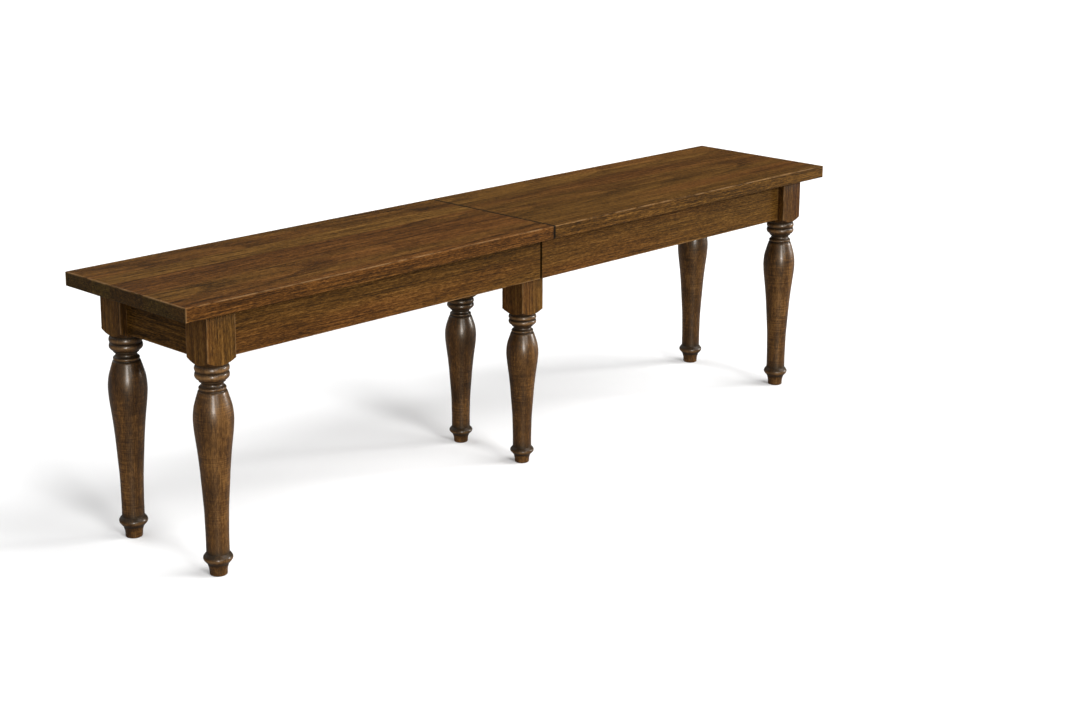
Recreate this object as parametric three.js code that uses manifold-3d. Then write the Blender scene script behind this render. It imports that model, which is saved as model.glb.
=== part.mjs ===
// Extension bench with a split seat: two halves slide apart on a centre stand.
// Millimetres. +X runs along the seat to the right, -Y is the front, +Z is up, the floor is z = 0.
import * as THREE from 'three';
import { mergeVertices, toCreasedNormals } from 'three/addons/utils/BufferGeometryUtils.js';
import Module from 'manifold-3d';

const wasm = await Module();
wasm.setup();

// Seat
const LENGTH = 1588;
const DEPTH = 320.4;
const SEAT_HEIGHT = 457.2;
const SLAB_THICKNESS = 23.9;
const SLAB_EASE = 1.2;
const SEAM_GAP = 0.7;
const SLAB_BOTTOM = SEAT_HEIGHT - SLAB_THICKNESS;
const SEAM = SEAM_GAP / 2;

// Corner legs: axis positions, square block and turned profile [height, radius] from the floor up
const LEG_X = 716.5;
const LEG_Y = 114.8;
const BLOCK_HALF = 27.3;
const TURNING_TOP = 346;
const LEG_PROFILE = [
  [0, 13.4], [0.8, 14.4], [9, 15.4], [18, 17.8], [22.6, 22.0], [26.3, 23.3], [31, 23.4], [34.5, 21.6],
  [38.4, 18.6], [62, 18.5], [100, 19.3], [135, 21.1], [168, 23.4], [200, 26.3], [228, 29.6], [246, 31.5],
  [259, 31.95], [271, 31.3], [283, 29.1], [294, 25.8], [303.2, 22.6], [304.8, 20.6], [306.6, 21.4],
  [309.6, 21.4], [314, 17.6], [317.6, 18.1], [319, 20.9], [320.8, 21.2], [324.2, 25.4], [329.2, 27.5],
  [335, 25.6], [340, 27.5], [346, 25.8], [349.2, 27.7], [353, 33.4], [357.4, 38.8],
];
const LEG_SIDES = 20;

// Centre legs: the same turning, shorter and slimmer
const MID_LEG_Y = 81.2;
const MID_BLOCK_HALF = 26.1;
const MID_HEIGHT_SCALE = 1 / 1.227;
const MID_RADIUS_SCALE = 1 / 1.09;
const MID_BLOCK_TOP = 365;

// Aprons
const APRON_BOTTOM = 355;
const APRON_OUTER_Y = 127.7;
const APRON_INNER_Y = 109;
const APRON_OUTER_X = 732;
const APRON_INNER_X = 713;
const APRON_SETBACK = 2.5;
const APRON_EASE = 0.8;

// Inner frame of each half
const CROSS_RAIL = { near: 75, far: 95, bottom: 358, top: 391.3 };
const CLEAT = { near: 60, far: 620, inner: 91, height: 18 };
const BRACE = { cornerGap: 1.2, thickness: 20, bottom: 378, top: 428 };
const HANGER_BOLT = { radius: 4, inLeg: 25, pastBrace: 13, height: 403, ease: 0.8 };
const NUT = { acrossCorners: 15, thickness: 6.5, clearance: 0.4 };
const BORE_GAP = 0.3;

// Slide rails: bands in |y|, from the pinion outwards
const RAIL_TOP = SLAB_BOTTOM;
const RAIL_BOTTOM = 393.3;
const RAIL_RELIEF = 1.5;
const RAIL_RELIEF_START = 10;
const RAIL_FAR = 620;
const RAIL_REACH = 400;
const INNER_RAIL = { inner: 28, outer: 44 };
const CENTRE_RAIL = { inner: 44.6, outer: 62.6, half: 330 };
const OUTER_RAIL = { inner: 63.2, outer: 79.2 };
const TONGUE_HEIGHT = 11.2;
const GROOVE_HEIGHT = 12;
const GROOVE_DEPTH = 5;
const TONGUE_REACH = 5.1;
const TONGUE_Z = 412.3;

// Centre stand
const BEARER = { halfX: 30, top: 392.3 };
const STRETCHER = { halfX: 11, bottom: 340 };
const LEG_BOLT = { radius: 4, headRadius: 7, headHeight: 5, sink: 6, bottom: 320 };

// Equalizer: one pinion between two racks
const MODULE = 3;
const TEETH = 12;
const PRESSURE_ANGLE = THREE.MathUtils.degToRad(25);
const BACKLASH = 0.2;
const PITCH_RADIUS = (MODULE * TEETH) / 2;
const PITCH = Math.PI * MODULE;
const PINION = { tip: 21, root: 14.6, bottom: 405, top: 419, bore: 4.06, flankSteps: 3 };
const RACK = { tip: 2.6, root: 3.6, back: INNER_RAIL.inner, bottom: 402, top: 422 };
const RACK_TEETH = { first: -2, last: 34 };
const RACK_STOP = { start: 338, length: 10, inner: 13 };
const AXLE = { radius: 4, headRadius: 7, headHeight: 6, headGap: 0.3, bottom: 372 };
const SPACER = { radius: 8, gap: 0.3 };

// Alignment pins and sockets in the seam edges
const PIN = { y: 96, radius: 4, half: 12, ease: 0.8 };
const SOCKET = { outer: 6, inner: 4.1, depth: 14 };

// Lock levers, their base plates and keepers
const LOCK_Y = 101;
const LOCK_PIVOT_X = -13;
const LOCK_STUD_X = 11;
const LOCK_OPEN_ANGLE = THREE.MathUtils.degToRad(28);
const LOCK_PLATE = { thickness: 2, before: 11, after: 9, halfY: 6 };
const KEEPER = { before: 8, after: 13, halfY: 6 };
const LEVER = { bottom: 424, top: 428, bore: 3.06, slot: 3.1, mouth: 4.1, edge: 5 };
// Outline of a closed lever in four runs of [x, y] from the pivot, with the hook's mouth at -Y
const LEVER_TIP = [[30, -5], [31, -3.5], [31, 4], [28, 7]];
const LEVER_BACK = [[18, 7], [6, 5.5], [-3.6, 7.8]];
const LEVER_TAIL = [[-12.7, 12], [-16.1, 12.1], [-18.5, 7.9], [-16.7, 5]];
const LEVER_HUB = [[-6.9, -2], [1, -6], [6, -5]];
const STUD = { radius: 3, collar: 5, head: 4.6, headHeight: 2.4, gap: 0.1 };
const KEEPER_STUD_GAP = 0.4;

const ROUND_SIDES = 20;
const SMALL_SIDES = 16;
const OVERCUT = 1;
const WELD_DISTANCE = 1e-4;
const CREASE_ANGLE = THREE.MathUtils.degToRad(35);

const stainedOak = { color: 0x4a3020, roughness: 0.46, metalness: 0 };
const stainedOakDark = { color: 0x3d281b, roughness: 0.5, metalness: 0 };
const slideMaple = { color: 0xb98f61, roughness: 0.62, metalness: 0 };
const frameWood = { color: 0x8a6641, roughness: 0.7, metalness: 0 };
const zincSteel = { color: 0x9a9c9e, roughness: 0.38, metalness: 0.9 };
const darkSteel = { color: 0x3a3836, roughness: 0.45, metalness: 0.85 };
const nylon = { color: 0xd9d4c6, roughness: 0.55, metalness: 0 };

const group = new THREE.Group();
group.name = 'extension_bench';

// Adds one named piece with a material of its own.
function addPiece(name, geometry, finish) {
  const mesh = new THREE.Mesh(geometry, new THREE.MeshStandardMaterial(finish));
  mesh.name = name;
  group.add(mesh);
}

// Welds a geometry by position, drops triangles without area and hands it over as a solid.
function solidOf(geometry) {
  const bare = new THREE.BufferGeometry();
  bare.setAttribute('position', geometry.getAttribute('position'));
  if (geometry.index) bare.setIndex(geometry.index);
  const welded = mergeVertices(bare, WELD_DISTANCE);
  const corners = [];
  for (let i = 0; i < welded.index.count; i += 3) {
    const [a, b, c] = [0, 1, 2].map((k) => welded.index.getX(i + k));
    if (a !== b && b !== c && c !== a) corners.push(a, b, c);
  }
  return new wasm.Manifold(new wasm.Mesh({
    numProp: 3,
    vertProperties: new Float32Array(welded.attributes.position.array),
    triVerts: new Uint32Array(corners),
  }));
}

// Turns a solid back into a geometry with smooth normals between its creases.
function geometryOf(solid) {
  const surface = solid.getMesh();
  const geometry = new THREE.BufferGeometry();
  geometry.setAttribute('position', new THREE.BufferAttribute(surface.vertProperties, 3));
  geometry.setIndex(new THREE.BufferAttribute(surface.triVerts, 1));
  return toCreasedNormals(geometry, CREASE_ANGLE);
}

// Half a turn about the vertical axis: it swaps the two halves of the bench.
function turned(geometry) {
  return geometry.clone().rotateZ(Math.PI);
}

function boxBetween(x0, x1, y0, y1, z0, z1) {
  const box = new THREE.BoxGeometry(x1 - x0, y1 - y0, z1 - z0);
  return box.translate((x0 + x1) / 2, (y0 + y1) / 2, (z0 + z1) / 2);
}

// A board lying along X and Y whose edges at top and bottom are eased.
function easedBoard(x0, x1, y0, y1, z0, z1, ease) {
  const outline = [
    new THREE.Vector2(x0 + ease, y0 + ease), new THREE.Vector2(x1 - ease, y0 + ease),
    new THREE.Vector2(x1 - ease, y1 - ease), new THREE.Vector2(x0 + ease, y1 - ease),
  ];
  const board = new THREE.ExtrudeGeometry(new THREE.Shape(outline), {
    depth: z1 - z0 - 2 * ease,
    bevelEnabled: true,
    bevelSize: ease,
    bevelThickness: ease,
    bevelSegments: 2,
  });
  return board.translate(0, 0, z0 + ease);
}

// A flat outline in X and Y raised from z0 to z1.
function plate(shape, z0, z1, curveSegments = SMALL_SIDES / 2) {
  const body = new THREE.ExtrudeGeometry(shape, { depth: z1 - z0, bevelEnabled: false, curveSegments });
  return body.translate(0, 0, z0);
}

// A cross-section given as [y, z] points, drawn out along X.
function barAlongX(section, x0, x1) {
  const shape = new THREE.Shape(section.map(([y, z]) => new THREE.Vector2(y, z)));
  const bar = new THREE.ExtrudeGeometry(shape, { depth: x1 - x0, bevelEnabled: false });
  const axes = new THREE.Matrix4().makeBasis(
    new THREE.Vector3(0, 1, 0), new THREE.Vector3(0, 0, 1), new THREE.Vector3(1, 0, 0),
  );
  return bar.applyMatrix4(axes).translate(x0, 0, 0);
}

// A turned piece standing on Z: the profile is [height, radius] and is closed on the axis.
function turning(profile, sides) {
  const points = profile.map(([z, r]) => new THREE.Vector2(r, z));
  const bottom = new THREE.Vector2(0, profile[0][0]);
  const top = new THREE.Vector2(0, profile.at(-1)[0]);
  return new THREE.LatheGeometry([bottom, ...points, top], sides).rotateX(Math.PI / 2);
}

// A ring standing on Z: its profile closes on itself.
function ring(inner, outer, z0, z1, sides) {
  const corners = [[inner, z0], [outer, z0], [outer, z1], [inner, z1], [inner, z0]];
  const points = corners.map(([r, z]) => new THREE.Vector2(r, z));
  return new THREE.LatheGeometry(points, sides).rotateX(Math.PI / 2);
}

function rod(radius, z0, z1, sides) {
  return turning([[z0, radius], [z1, radius]], sides);
}

// A turned leg that grows into a square block; the block's lower corners keep the turned shoulder.
function leg(profile, turningTop, blockHalf, blockTop, bore) {
  const wide = blockHalf * 2;
  const [shoulder] = profile.at(-1);
  const blank = solidOf(turning([...profile, [shoulder + OVERCUT, wide], [blockTop, wide]], LEG_SIDES));
  const block = solidOf(boxBetween(-blockHalf, blockHalf, -blockHalf, blockHalf, turningTop, blockTop));
  const below = solidOf(rod(wide, -OVERCUT, turningTop + OVERCUT, LEG_SIDES));
  return blank.intersect(block.add(below)).subtract(bore);
}

// Seat slabs, with the holes for the alignment pins and sockets
const slab = easedBoard(-LENGTH / 2, -SEAM, -DEPTH / 2, DEPTH / 2, SLAB_BOTTOM, SEAT_HEIGHT, SLAB_EASE);
const pinZ = SLAB_BOTTOM + SLAB_THICKNESS / 2;

function boredSlab(board, radius, x0, x1) {
  const bore = rod(radius, x0, x1, SMALL_SIDES).rotateY(Math.PI / 2);
  const front = solidOf(bore.clone().translate(0, -PIN.y, pinZ));
  const back = solidOf(bore.clone().translate(0, PIN.y, pinZ));
  return geometryOf(solidOf(board).subtract(front).subtract(back));
}

addPiece('left_slab', boredSlab(slab, PIN.radius + BORE_GAP, -PIN.half - BORE_GAP, OVERCUT), stainedOak);
const socketEnd = SEAM + SOCKET.depth + BORE_GAP;
addPiece('right_slab', boredSlab(turned(slab), SOCKET.outer + BORE_GAP, -OVERCUT, socketEnd), stainedOak);

const pinProfile = [
  [-PIN.half, PIN.radius - PIN.ease], [-PIN.half + PIN.ease, PIN.radius],
  [PIN.half - PIN.ease, PIN.radius], [PIN.half, PIN.radius - PIN.ease],
];
const pin = turning(pinProfile, SMALL_SIDES).rotateY(Math.PI / 2);
const socketBlank = ring(SOCKET.inner, SOCKET.outer, SEAM, SEAM + SOCKET.depth, SMALL_SIDES);
const socket = socketBlank.rotateY(Math.PI / 2);
for (const [side, y] of [['front', -PIN.y], ['back', PIN.y]]) {
  addPiece(`left_align_pin_${side}`, pin.clone().translate(0, y, pinZ), darkSteel);
  addPiece(`right_align_socket_${side}`, socket.clone().translate(0, y, pinZ), zincSteel);
}

// Aprons of the left half; the right half has the same ones turned about the middle
const apronEnd = LEG_X - BLOCK_HALF;
const endHalf = LEG_Y - BLOCK_HALF;
const apronBack = easedBoard(
  -apronEnd, -APRON_SETBACK, APRON_INNER_Y, APRON_OUTER_Y, APRON_BOTTOM, SLAB_BOTTOM, APRON_EASE,
);
const apronFront = easedBoard(
  -apronEnd, -APRON_SETBACK, -APRON_OUTER_Y, -APRON_INNER_Y, APRON_BOTTOM, SLAB_BOTTOM, APRON_EASE,
);
const apronSide = easedBoard(
  -APRON_OUTER_X, -APRON_INNER_X, -endHalf, endHalf, APRON_BOTTOM, SLAB_BOTTOM, APRON_EASE,
);
addPiece('left_apron_front', apronFront, stainedOak);
addPiece('left_apron_back', apronBack, stainedOak);
addPiece('left_apron_end', apronSide, stainedOakDark);
addPiece('right_apron_front', turned(apronBack), stainedOak);
addPiece('right_apron_back', turned(apronFront), stainedOak);
addPiece('right_apron_end', turned(apronSide), stainedOakDark);

// Cross rails and cleats inside the aprons
const crossRail = boxBetween(
  -CROSS_RAIL.far, -CROSS_RAIL.near, -APRON_INNER_Y, APRON_INNER_Y, CROSS_RAIL.bottom, CROSS_RAIL.top,
);
const cleatBottom = SLAB_BOTTOM - CLEAT.height;
const cleat = boxBetween(-CLEAT.far, -CLEAT.near, CLEAT.inner, APRON_INNER_Y, cleatBottom, SLAB_BOTTOM);
const cleatFront = cleat.clone().translate(0, -CLEAT.inner - APRON_INNER_Y, 0);
addPiece('left_cross_rail', crossRail, frameWood);
addPiece('left_cleat_back', cleat, frameWood);
addPiece('left_cleat_front', cleatFront, frameWood);
addPiece('right_cross_rail', turned(crossRail), frameWood);
addPiece('right_cleat_front', turned(cleat), frameWood);
addPiece('right_cleat_back', turned(cleatFront), frameWood);

// Corner braces across the inside of each corner, each with a hanger bolt and a nut.
// Their faces are lines x + y = constant in the corner where x and y are both positive.
const blockCorner = LEG_X - BLOCK_HALF + LEG_Y - BLOCK_HALF;
const braceOuter = blockCorner - BRACE.cornerGap * Math.SQRT2;
const braceInner = braceOuter - BRACE.thickness * Math.SQRT2;
const braceOutline = [
  [braceInner - APRON_INNER_Y, APRON_INNER_Y], [APRON_INNER_X, braceInner - APRON_INNER_X],
  [APRON_INNER_X, braceOuter - APRON_INNER_X], [braceOuter - APRON_INNER_Y, APRON_INNER_Y],
];

// A rod along the corner's diagonal through the leg axis, from and to a distance along it.
function alongDiagonal(geometry, signX, signY) {
  const inward = new THREE.Vector3(-signX, -signY, 0).normalize();
  const turn = new THREE.Quaternion().setFromUnitVectors(new THREE.Vector3(0, 0, 1), inward);
  const corner = new THREE.Vector3(signX * (LEG_X - BLOCK_HALF), signY * (LEG_Y - BLOCK_HALF), 0);
  return geometry.clone().applyQuaternion(turn).translate(corner.x, corner.y, HANGER_BOLT.height);
}

const throughBrace = BRACE.cornerGap + BRACE.thickness;
const boltEnd = throughBrace + HANGER_BOLT.pastBrace;
const boltProfile = [
  [-HANGER_BOLT.inLeg, HANGER_BOLT.radius - HANGER_BOLT.ease],
  [-HANGER_BOLT.inLeg + HANGER_BOLT.ease, HANGER_BOLT.radius],
  [boltEnd - HANGER_BOLT.ease, HANGER_BOLT.radius],
  [boltEnd, HANGER_BOLT.radius - HANGER_BOLT.ease],
];
const hangerBolt = turning(boltProfile, SMALL_SIDES);
const boltHole = HANGER_BOLT.radius + BORE_GAP;
const hangerBore = rod(boltHole, -HANGER_BOLT.inLeg - BORE_GAP, boltEnd, SMALL_SIDES);
const nutShape = new THREE.Shape(Array.from({ length: 6 }, (_, i) => {
  const angle = (i * Math.PI) / 3;
  const radius = NUT.acrossCorners / 2;
  return new THREE.Vector2(radius * Math.cos(angle), radius * Math.sin(angle));
}));
nutShape.holes.push(new THREE.Path().absarc(0, 0, boltHole, 0, 2 * Math.PI, true));
const nutStart = throughBrace + NUT.clearance;
const nut = plate(nutShape, nutStart, nutStart + NUT.thickness);

const corners = [
  ['left', 'front', -1, -1], ['left', 'back', -1, 1], ['right', 'front', 1, -1], ['right', 'back', 1, 1],
];
for (const [half, side, signX, signY] of corners) {
  const bore = solidOf(alongDiagonal(hangerBore, signX, signY));
  const boreAtLeg = bore.translate([-signX * LEG_X, -signY * LEG_Y, 0]);
  const legBody = leg(LEG_PROFILE, TURNING_TOP, BLOCK_HALF, SLAB_BOTTOM, boreAtLeg);
  const placed = geometryOf(legBody).translate(signX * LEG_X, signY * LEG_Y, 0);
  addPiece(`${half}_leg_${side}`, placed, stainedOak);
  const outline = new THREE.Shape(braceOutline.map(([x, y]) => new THREE.Vector2(signX * x, signY * y)));
  const brace = solidOf(plate(outline, BRACE.bottom, BRACE.top)).subtract(bore);
  addPiece(`${half}_brace_${side}`, geometryOf(brace), frameWood);
  addPiece(`${half}_hanger_bolt_${side}`, alongDiagonal(hangerBolt, signX, signY), zincSteel);
  addPiece(`${half}_nut_${side}`, alongDiagonal(nut, signX, signY), zincSteel);
}

// Slide rails. A half rail is a bar with a tongue on the side that faces its centre rail.
// Its top carries its own slab and is lowered where it runs under the other slab.
function halfRail(back, face) {
  const low = TONGUE_Z - TONGUE_HEIGHT / 2;
  const high = TONGUE_Z + TONGUE_HEIGHT / 2;
  const tip = face + TONGUE_REACH;
  const section = [
    [back, RAIL_BOTTOM], [face, RAIL_BOTTOM], [face, low], [tip, low],
    [tip, high], [face, high], [face, RAIL_TOP], [back, RAIL_TOP],
  ];
  const bar = solidOf(barAlongX(section, -RAIL_FAR, RAIL_REACH));
  const relief = boxBetween(
    -RAIL_RELIEF_START, RAIL_REACH + OVERCUT, back - OVERCUT, face + OVERCUT,
    RAIL_TOP - RAIL_RELIEF, RAIL_TOP + OVERCUT,
  );
  return geometryOf(bar.subtract(solidOf(relief)));
}

const outerRail = halfRail(-OUTER_RAIL.outer, -OUTER_RAIL.inner);
const innerRail = halfRail(INNER_RAIL.inner, INNER_RAIL.outer);
addPiece('left_rail_outer', outerRail, slideMaple);
addPiece('left_rail_inner', innerRail, slideMaple);
addPiece('right_rail_outer', turned(outerRail), slideMaple);
addPiece('right_rail_inner', turned(innerRail), slideMaple);

// Centre rails: a groove along each side takes the tongues of one left and one right rail
const grooveLow = TONGUE_Z - GROOVE_HEIGHT / 2;
const grooveHigh = TONGUE_Z + GROOVE_HEIGHT / 2;
const centreTop = RAIL_TOP - RAIL_RELIEF;
const centreSection = [
  [CENTRE_RAIL.inner, BEARER.top], [CENTRE_RAIL.outer, BEARER.top],
  [CENTRE_RAIL.outer, grooveLow], [CENTRE_RAIL.outer - GROOVE_DEPTH, grooveLow],
  [CENTRE_RAIL.outer - GROOVE_DEPTH, grooveHigh], [CENTRE_RAIL.outer, grooveHigh],
  [CENTRE_RAIL.outer, centreTop], [CENTRE_RAIL.inner, centreTop],
  [CENTRE_RAIL.inner, grooveHigh], [CENTRE_RAIL.inner + GROOVE_DEPTH, grooveHigh],
  [CENTRE_RAIL.inner + GROOVE_DEPTH, grooveLow], [CENTRE_RAIL.inner, grooveLow],
];
const centreRail = barAlongX(centreSection, -CENTRE_RAIL.half, CENTRE_RAIL.half);
addPiece('centre_rail_back', centreRail, slideMaple);
addPiece('centre_rail_front', turned(centreRail), slideMaple);

// Centre stand: two legs, a bearer across their tops and a stretcher between their blocks
const bearerHalfY = MID_LEG_Y + MID_BLOCK_HALF;
const boreTop = BEARER.top + OVERCUT;
const legBoltHole = rod(LEG_BOLT.radius + BORE_GAP, LEG_BOLT.bottom - BORE_GAP, boreTop, SMALL_SIDES);
const headHole = rod(LEG_BOLT.headRadius + BORE_GAP, BEARER.top - LEG_BOLT.sink, boreTop, SMALL_SIDES);
const legBoltBore = solidOf(legBoltHole).add(solidOf(headHole));
const axleHole = rod(AXLE.radius + BORE_GAP, AXLE.bottom - BORE_GAP, boreTop, SMALL_SIDES);
const bearerBlank = solidOf(boxBetween(
  -BEARER.halfX, BEARER.halfX, -bearerHalfY, bearerHalfY, MID_BLOCK_TOP, BEARER.top,
));
const bearer = bearerBlank
  .subtract(legBoltBore.translate([0, -MID_LEG_Y, 0]))
  .subtract(legBoltBore.translate([0, MID_LEG_Y, 0]))
  .subtract(solidOf(axleHole));
addPiece('bearer', geometryOf(bearer), frameWood);
const stretcherHalfY = MID_LEG_Y - MID_BLOCK_HALF;
const stretcher = boxBetween(
  -STRETCHER.halfX, STRETCHER.halfX, -stretcherHalfY, stretcherHalfY, STRETCHER.bottom, MID_BLOCK_TOP,
);
addPiece('stretcher', stretcher, stainedOakDark);

const midProfile = LEG_PROFILE.map(([z, r]) => [z * MID_HEIGHT_SCALE, r * MID_RADIUS_SCALE]);
const midTurningTop = TURNING_TOP * MID_HEIGHT_SCALE;
const midLeg = leg(midProfile, midTurningTop, MID_BLOCK_HALF, MID_BLOCK_TOP, solidOf(legBoltHole));
const boltHeadBottom = BEARER.top - LEG_BOLT.sink + BORE_GAP;
const legBolt = turning([
  [LEG_BOLT.bottom, LEG_BOLT.radius], [boltHeadBottom, LEG_BOLT.radius],
  [boltHeadBottom, LEG_BOLT.headRadius], [boltHeadBottom + LEG_BOLT.headHeight, LEG_BOLT.headRadius],
], SMALL_SIDES);
for (const [side, y] of [['front', -MID_LEG_Y], ['back', MID_LEG_Y]]) {
  addPiece(`mid_leg_${side}`, geometryOf(midLeg).translate(0, y, 0), stainedOak);
  addPiece(`mid_leg_bolt_${side}`, legBolt.clone().translate(0, y, 0), zincSteel);
}

// Pinion with involute flanks
const baseRadius = PITCH_RADIUS * Math.cos(PRESSURE_ANGLE);

function involute(angle) {
  return Math.tan(angle) - angle;
}

function halfToothAngle(radius) {
  const atRadius = Math.acos(Math.min(1, baseRadius / radius));
  const atPitch = (PITCH / 2 - BACKLASH) / (2 * PITCH_RADIUS);
  return atPitch + involute(PRESSURE_ANGLE) - involute(atRadius);
}

const flank = Array.from({ length: PINION.flankSteps + 1 }, (_, i) => {
  const radius = baseRadius + ((PINION.tip - baseRadius) * i) / PINION.flankSteps;
  return [radius, halfToothAngle(radius)];
});
flank.unshift([PINION.root, halfToothAngle(baseRadius)]);
const pinionPoints = [];
for (let tooth = 0; tooth < TEETH; tooth += 1) {
  const middle = Math.PI / 2 + (tooth * 2 * Math.PI) / TEETH;
  const rising = flank.map(([r, a]) => [r, middle - a]);
  const falling = [...flank].reverse().map(([r, a]) => [r, middle + a]);
  for (const [r, a] of [...rising, ...falling]) {
    pinionPoints.push(new THREE.Vector2(r * Math.cos(a), r * Math.sin(a)));
  }
}
const pinionShape = new THREE.Shape(pinionPoints);
pinionShape.holes.push(new THREE.Path().absarc(0, 0, PINION.bore, 0, 2 * Math.PI, true));
addPiece('pinion', plate(pinionShape, PINION.bottom, PINION.top, ROUND_SIDES / 2), nylon);

// Rack of the left half: straight-flanked teeth towards the pinion, a gap at x = 0, a stop at its far end
const flankSlope = Math.tan(PRESSURE_ANGLE);
const toothHalf = (PITCH / 2 - BACKLASH) / 2;
const tipHalf = toothHalf - RACK.tip * flankSlope;
const rootHalf = toothHalf + RACK.root * flankSlope;
const rackTip = PITCH_RADIUS - RACK.tip;
const rackRoot = PITCH_RADIUS + RACK.root;
const toothMiddle = (tooth) => (tooth + 0.5) * PITCH;
const rackStart = toothMiddle(RACK_TEETH.first) - PITCH / 2;
const rackEnd = RACK_STOP.start + RACK_STOP.length;
const rackPoints = [[rackEnd, RACK.back], [rackStart, RACK.back], [rackStart, rackRoot]];
for (let tooth = RACK_TEETH.first; tooth <= RACK_TEETH.last; tooth += 1) {
  const middle = toothMiddle(tooth);
  rackPoints.push([middle - rootHalf, rackRoot], [middle - tipHalf, rackTip]);
  rackPoints.push([middle + tipHalf, rackTip], [middle + rootHalf, rackRoot]);
}
rackPoints.push([RACK_STOP.start, rackRoot], [RACK_STOP.start, RACK_STOP.inner], [rackEnd, RACK_STOP.inner]);
const rackShape = new THREE.Shape(rackPoints.map(([x, y]) => new THREE.Vector2(x, y)));
const rack = plate(rackShape, RACK.bottom, RACK.top);
addPiece('left_rack', rack, nylon);
addPiece('right_rack', turned(rack), nylon);

// Axle bolt of the pinion and the spacer under it
const headBottom = PINION.top + AXLE.headGap;
const axle = turning([
  [AXLE.bottom, AXLE.radius], [headBottom, AXLE.radius],
  [headBottom, AXLE.headRadius], [headBottom + AXLE.headHeight, AXLE.headRadius],
], ROUND_SIDES);
addPiece('axle_bolt', axle, zincSteel);
const spacerTop = PINION.bottom - SPACER.gap;
const spacer = ring(AXLE.radius + BORE_GAP, SPACER.radius, BEARER.top, spacerTop, ROUND_SIDES);
addPiece('axle_spacer', spacer, zincSteel);

// Lock levers, drawn closed for the front and mirrored for the back, then swung open about the pivot
const studReach = LOCK_STUD_X - LOCK_PIVOT_X;
const leverShape = new THREE.Shape();
leverShape.moveTo(studReach + LEVER.slot, 0);
leverShape.lineTo(studReach + LEVER.slot, -LEVER.edge);
for (const [x, y] of [...LEVER_TIP, ...LEVER_BACK, ...LEVER_TAIL, ...LEVER_HUB]) leverShape.lineTo(x, y);
leverShape.lineTo(studReach - LEVER.mouth, -LEVER.edge);
leverShape.lineTo(studReach - LEVER.slot, 0);
leverShape.absarc(studReach, 0, LEVER.slot, Math.PI, 0, true);
leverShape.holes.push(new THREE.Path().absarc(0, 0, LEVER.bore, 0, 2 * Math.PI, true));
const lever = plate(leverShape, LEVER.bottom, LEVER.top, ROUND_SIDES / 2);

const plateBottom = SLAB_BOTTOM - LOCK_PLATE.thickness;
const headTop = LEVER.bottom - STUD.gap;
const pivotStud = turning([
  [headTop - STUD.headHeight, STUD.head], [headTop, STUD.head], [headTop, STUD.radius],
  [LEVER.top + STUD.gap, STUD.radius], [LEVER.top + STUD.gap, STUD.collar],
  [SLAB_BOTTOM, STUD.collar],
], ROUND_SIDES);
const basePlate = boxBetween(
  -LOCK_PLATE.before, LOCK_PLATE.after, -LOCK_PLATE.halfY, LOCK_PLATE.halfY, plateBottom, SLAB_BOTTOM,
);
const lockBase = geometryOf(solidOf(basePlate).add(solidOf(pivotStud)));
const keeperHeadTop = LEVER.bottom - KEEPER_STUD_GAP;
const keeperStud = turning([
  [keeperHeadTop - STUD.headHeight, STUD.head], [keeperHeadTop, STUD.head],
  [keeperHeadTop, STUD.radius], [SLAB_BOTTOM, STUD.radius],
], ROUND_SIDES);
const keeperPlate = boxBetween(
  -KEEPER.before, KEEPER.after, -KEEPER.halfY, KEEPER.halfY, plateBottom, SLAB_BOTTOM,
);
const keeper = geometryOf(solidOf(keeperPlate).add(solidOf(keeperStud)));
const leverBack = geometryOf(solidOf(lever).mirror([0, 1, 0]));
addPiece('left_lock_base_front', lockBase.clone().translate(LOCK_PIVOT_X, -LOCK_Y, 0), darkSteel);
addPiece('left_lock_base_back', lockBase.clone().translate(LOCK_PIVOT_X, LOCK_Y, 0), darkSteel);
const leverFrontOpen = lever.clone().rotateZ(LOCK_OPEN_ANGLE).translate(LOCK_PIVOT_X, -LOCK_Y, 0);
const leverBackOpen = leverBack.rotateZ(-LOCK_OPEN_ANGLE).translate(LOCK_PIVOT_X, LOCK_Y, 0);
addPiece('lock_lever_front', leverFrontOpen, darkSteel);
addPiece('lock_lever_back', leverBackOpen, darkSteel);
addPiece('right_keeper_front', keeper.clone().translate(LOCK_STUD_X, -LOCK_Y, 0), darkSteel);
addPiece('right_keeper_back', keeper.clone().translate(LOCK_STUD_X, LOCK_Y, 0), darkSteel);

export default group;
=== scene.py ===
"""Looks of an extension bench with a split seat. Metres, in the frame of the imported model."""
import math

import bpy
from mathutils import Matrix, Vector


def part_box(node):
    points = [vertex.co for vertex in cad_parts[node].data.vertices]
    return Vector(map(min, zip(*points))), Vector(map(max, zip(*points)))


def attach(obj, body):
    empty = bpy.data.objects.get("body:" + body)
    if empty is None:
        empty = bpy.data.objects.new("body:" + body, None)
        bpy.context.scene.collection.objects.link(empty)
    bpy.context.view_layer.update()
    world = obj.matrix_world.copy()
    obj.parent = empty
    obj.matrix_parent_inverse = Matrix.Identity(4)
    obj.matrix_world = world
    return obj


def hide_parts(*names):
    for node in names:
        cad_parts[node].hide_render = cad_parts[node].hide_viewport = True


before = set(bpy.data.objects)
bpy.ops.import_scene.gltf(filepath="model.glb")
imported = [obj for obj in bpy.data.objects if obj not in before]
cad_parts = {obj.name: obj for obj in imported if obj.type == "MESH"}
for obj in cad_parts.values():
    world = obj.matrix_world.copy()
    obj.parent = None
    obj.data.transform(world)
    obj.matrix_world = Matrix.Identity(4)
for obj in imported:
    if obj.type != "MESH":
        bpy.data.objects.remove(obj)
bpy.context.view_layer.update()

MM = 0.001

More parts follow.
